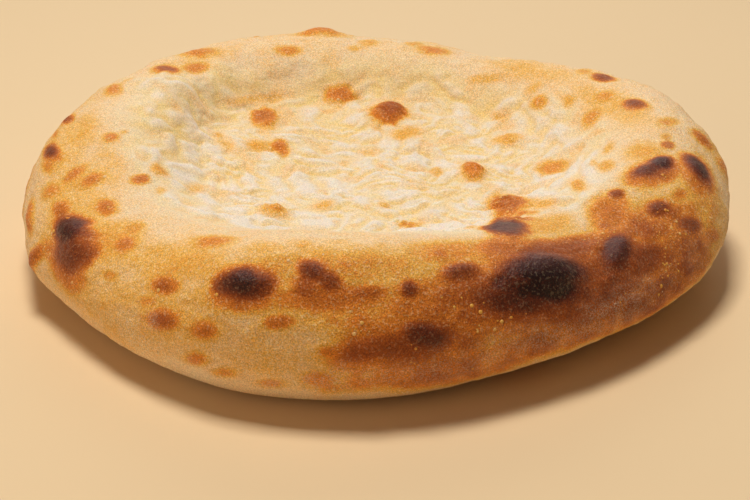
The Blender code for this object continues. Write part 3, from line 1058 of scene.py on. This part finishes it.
def bubble_material(settings):
    """Thin skin of a small crust bubble: drier than the crust round it, so a step paler, and dull."""
    material, tree = new_material("bubble_skin")
    baked = add(tree, "ShaderNodeAttribute", attribute_name="baked").outputs["Fac"]
    place = add(tree, "ShaderNodeTexCoord").outputs["Object"]
    mottle = add(tree, "ShaderNodeTexNoise", BUBBLE_MOTTLE, {"Vector": place})
    tone = add(tree, "ShaderNodeMath", {1: BUBBLE_BAKED}, {0: baked}, operation="MULTIPLY")
    varied = add(
        tree, "ShaderNodeMath", {1: BUBBLE_VARIATION}, {0: mottle, 2: tone}, operation="MULTIPLY_ADD")
    paler = add(tree, "ShaderNodeMath", {1: BUBBLE_PALER}, {0: varied}, operation="SUBTRACT")
    ramp = add(tree, "ShaderNodeValToRGB", links={"Fac": paler})
    fill_ramp(ramp, settings, BAKING_COLOURS[:-1])
    bump = add(tree, "ShaderNodeBump", {"Strength": 0.6, "Distance": 0.0001}, {"Height": mottle})
    shader = add(
        tree, "ShaderNodeBsdfPrincipled",
        {"IOR": CRUST_IOR, "Roughness": 0.55, "Subsurface Weight": 0.12, "Subsurface Radius": RED_DEEPEST,
         "Subsurface Scale": 0.001},
        {"Base Color": ramp, "Normal": bump})
    add(tree, "ShaderNodeOutputMaterial", links={"Surface": shader})
    return material


def flour_material(settings):
    """Wheat flour, dry and matt: it scatters light evenly and shows no gloss."""
    material, tree = new_material("wheat_flour")
    place = add(tree, "ShaderNodeTexCoord").outputs["Object"]
    mottle = add(tree, "ShaderNodeTexNoise", FLOUR_MOTTLE, {"Vector": place})
    ramp = add(tree, "ShaderNodeValToRGB", links={"Fac": mottle})
    fill_ramp(ramp, settings, FLOUR_COLOURS)
    bump = add(tree, "ShaderNodeBump", {"Strength": 0.5, "Distance": 0.0001}, {"Height": mottle})
    shader = add(
        tree, "ShaderNodeBsdfPrincipled", {"IOR": CRUST_IOR, "Roughness": 0.9, "Specular IOR Level": 0.2},
        {"Base Color": ramp, "Normal": bump})
    add(tree, "ShaderNodeOutputMaterial", links={"Surface": shader})
    return material


def floor_material(settings):
    """Matt pale paint with the faintest mottle."""
    material, tree = new_material("pale_floor_paint")
    place = add(tree, "ShaderNodeTexCoord").outputs["Object"]
    mottle = add(tree, "ShaderNodeTexNoise", FLOOR_MOTTLE, {"Vector": place})
    rough = add(tree, "ShaderNodeMapRange", {"To Min": 0.75, "To Max": 0.85}, {"Value": mottle})
    shader = add(
        tree, "ShaderNodeBsdfPrincipled", {"Base Color": settings.floor_colour, "Specular IOR Level": 0.2},
        {"Roughness": rough})
    add(tree, "ShaderNodeOutputMaterial", links={"Surface": shader})
    return material


# ---------------------------------------------------------------- what is scattered on the crust

BUBBLE_ROUNDNESS = 2  # subdivisions of a bubble's shape
GRAIN_ROUNDNESS = 1  # and of a grain's, which is too small to show its corners
FEW_LARGE = 3.0  # more makes large ones rarer

# The tree's inputs, and the setting that each one's value comes from
SCATTER_INPUTS = {
    "Per area": "per_area", "Smallest": "smallest", "Largest": "largest", "Flatness": "flatness",
    "Seed": "seed",
}


def scatter_tree(name, roundness, where, material):
    """A node tree that scatters small shapes on a surface, thickest where an attribute of it is highest."""
    tree = bpy.data.node_groups.new(name, "GeometryNodeTree")
    sockets = tree.interface
    sockets.new_socket("Geometry", in_out="INPUT", socket_type="NodeSocketGeometry")
    for label in SCATTER_INPUTS:
        kind = "NodeSocketInt" if label == "Seed" else "NodeSocketFloat"
        sockets.new_socket(label, in_out="INPUT", socket_type=kind)
    sockets.new_socket("Geometry", in_out="OUTPUT", socket_type="NodeSocketGeometry")
    given = add(tree, "NodeGroupInput").outputs
    thick = add(tree, "GeometryNodeInputNamedAttribute", {"Name": where}, data_type="FLOAT")
    density = add(tree, "ShaderNodeMath", links={0: thick, 1: given["Per area"]}, operation="MULTIPLY")
    points = add(
        tree, "GeometryNodeDistributePointsOnFaces",
        links={"Mesh": given["Geometry"], "Density": density, "Seed": given["Seed"]})
    share = add(tree, "FunctionNodeRandomValue", links={"Seed": given["Seed"]}, data_type="FLOAT")
    rarer = add(tree, "ShaderNodeMath", {1: FEW_LARGE}, {0: share}, operation="POWER")
    size = add(
        tree, "ShaderNodeMapRange",
        links={"Value": rarer, "To Min": given["Smallest"], "To Max": given["Largest"]})
    height = add(tree, "ShaderNodeMath", links={0: size, 1: given["Flatness"]}, operation="MULTIPLY")
    scale = add(tree, "ShaderNodeCombineXYZ", links={"X": size, "Y": size, "Z": height})
    spin = add(
        tree, "FunctionNodeRandomValue", {"Min": (0, 0, 0), "Max": (0, 0, 2 * math.pi)},
        {"Seed": given["Seed"]}, data_type="FLOAT_VECTOR")
    turned = add(
        tree, "FunctionNodeRotateRotation", links={0: points.outputs["Rotation"], 1: spin},
        rotation_space="LOCAL")
    shape = add(tree, "GeometryNodeMeshIcoSphere", {"Radius": 0.5, "Subdivisions": roundness})
    placed = add(
        tree, "GeometryNodeInstanceOnPoints",
        links={"Points": points, "Instance": shape, "Rotation": turned, "Scale": scale})
    real = add(tree, "GeometryNodeRealizeInstances", links={"Geometry": placed})
    smooth = add(tree, "GeometryNodeSetShadeSmooth", links={"Geometry": real})
    painted = add(tree, "GeometryNodeSetMaterial", {"Material": material}, {"Geometry": smooth})
    add(tree, "NodeGroupOutput", links={"Geometry": painted})
    return tree


def scattered(name, tree, settings):
    """The mesh that the tree makes on the finished crust, with its inputs set from the settings."""
    obj = show(bpy.data.objects["crust"].data.copy(), name)
    modifier = obj.modifiers.new(name, "NODES")
    modifier.node_group = tree
    for item in tree.interface.items_tree:
        if item.in_out == "INPUT" and item.name in SCATTER_INPUTS:
            modifier[item.identifier] = getattr(settings, SCATTER_INPUTS[item.name])
    mesh = plain_mesh(obj, name)
    if not mesh.polygons:
        raise RuntimeError(f"{name} came out empty")
    return show(mesh, name)


# ---------------------------------------------------------------- operators

# Soft lights that shine on the bread: (place of the middle, side of the square)
LIGHTS = {
    "key": ((-0.10, 0.03, 1.20), 0.34),
    "fill": ((-0.94, -0.76, 0.42), 0.9),
    "back": ((0.10, 1.50, 0.85), 1.4),
}
FLOOR_DROP = 0.0003  # the floor lies this far below the bread, so that the two faces don't flicker
NEAREST_SEEN = 0.01  # by the camera


class FLATBREAD_OT_crust(Operator):
    """Make the bread's crust: creases, blisters and baking"""

    bl_idname = "flatbread.crust"
    bl_label = "Make the crust"

    def execute(self, context):
        settings = context.scene.flatbread_crust
        mesh = fine_mesh()
        corners = [v.co for v in mesh.vertices]
        tree = BVHTree.FromPolygons(corners, [p.vertices for p in mesh.polygons])
        bake_crust(mesh, settings, Eye(context.scene.flatbread_studio, tree))
        mesh.materials.append(crust_material(settings))
        crust = show(mesh, "crust")
        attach(crust, BODY)
        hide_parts(NODE)
        return {"FINISHED"}


class FLATBREAD_OT_bubbles(Operator):
    """Scatter small bubbles over the baked crust"""

    bl_idname = "flatbread.bubbles"
    bl_label = "Scatter crust bubbles"

    def execute(self, context):
        material = bubble_material(context.scene.flatbread_crust)
        tree = scatter_tree("crust_bubbles", BUBBLE_ROUNDNESS, "bubbly", material)
        bubbles = scattered("crust_bubbles", tree, context.scene.flatbread_bubbles)
        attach(bubbles, BODY)
        return {"FINISHED"}


class FLATBREAD_OT_flour(Operator):
    """Scatter grains of flour where it lies on the crust"""

    bl_idname = "flatbread.flour"
    bl_label = "Scatter flour"

    def execute(self, context):
        material = flour_material(context.scene.flatbread_crust)
        tree = scatter_tree("flour_grains", GRAIN_ROUNDNESS, "floured", material)
        grains = scattered("flour_grains", tree, context.scene.flatbread_flour)
        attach(grains, BODY)
        return {"FINISHED"}


class FLATBREAD_OT_studio(Operator):
    """Make the pale floor, the soft lights and the camera"""

    bl_idname = "flatbread.studio"
    bl_label = "Make the studio"

    def execute(self, context):
        scene = context.scene
        settings = scene.flatbread_studio
        flat = bmesh.new()
        bmesh.ops.create_grid(flat, x_segments=1, y_segments=1, size=settings.floor_size / 2)
        bmesh.ops.translate(flat, verts=flat.verts, vec=(0, 0, -FLOOR_DROP))
        mesh = bpy.data.meshes.new("floor")
        flat.to_mesh(mesh)
        flat.free()
        mesh.materials.append(floor_material(settings))
        show(mesh, "floor")

        for name, (place, side) in LIGHTS.items():
            light = bpy.data.lights.new(name, "AREA")
            light.shape = "SQUARE"
            light.size = side
            light.energy = getattr(settings, f"{name}_power")
            light.color = getattr(settings, f"{name}_colour")[:3]
            lamp = bpy.data.objects.new(name, light)
            lamp.location = place
            lamp.rotation_euler = looking(place, (0, 0, 0)).to_euler()
            scene.collection.objects.link(lamp)
        world = bpy.data.worlds.new("sky")
        world.use_nodes = True
        background = world.node_tree.nodes["Background"]
        background.inputs["Color"].default_value = settings.sky_colour
        background.inputs["Strength"].default_value = settings.sky_strength
        scene.world = world
        scene.view_settings.view_transform = "Standard"

        lens = bpy.data.cameras.new("camera")
        lens.sensor_width = SENSOR_WIDE
        lens.lens = settings.focal_length
        lens.clip_start = NEAREST_SEEN
        camera = bpy.data.objects.new("camera", lens)
        camera.location = settings.camera_place
        camera.rotation_euler = looking(settings.camera_place, settings.camera_aim).to_euler()
        scene.collection.objects.link(camera)
        scene.camera = camera
        return {"FINISHED"}


# Each step's settings and operator
STEPS = {
    "flatbread_studio": (StudioSettings, FLATBREAD_OT_studio),
    "flatbread_crust": (CrustSettings, FLATBREAD_OT_crust),
    "flatbread_bubbles": (BubbleSettings, FLATBREAD_OT_bubbles),
    "flatbread_flour": (FlourSettings, FLATBREAD_OT_flour),
}


class FLATBREAD_PT_finish(Panel):
    """The settings and the operator of each step, in order"""

    bl_label = "Flatbread finish"
    bl_space_type = "VIEW_3D"
    bl_region_type = "UI"
    bl_category = "Flatbread"

    def draw(self, context):
        for name, (group, operator) in STEPS.items():
            box = self.layout.box()
            for setting in group.__annotations__:
                box.prop(getattr(context.scene, name), setting)
            box.operator(operator.bl_idname)


CLASSES = [item for step_classes in STEPS.values() for item in step_classes] + [FLATBREAD_PT_finish]


def register():
    for item in CLASSES:
        bpy.utils.register_class(item)
    for name, (group, _) in STEPS.items():
        setattr(bpy.types.Scene, name, PointerProperty(type=group))


def unregister():
    for name in STEPS:
        delattr(bpy.types.Scene, name)
    for item in reversed(CLASSES):
        bpy.utils.unregister_class(item)


def main():
    register()
    bpy.ops.flatbread.studio()
    bpy.ops.flatbread.crust()
    bpy.ops.flatbread.bubbles()
    bpy.ops.flatbread.flour()


if __name__ == "__main__":
    main()
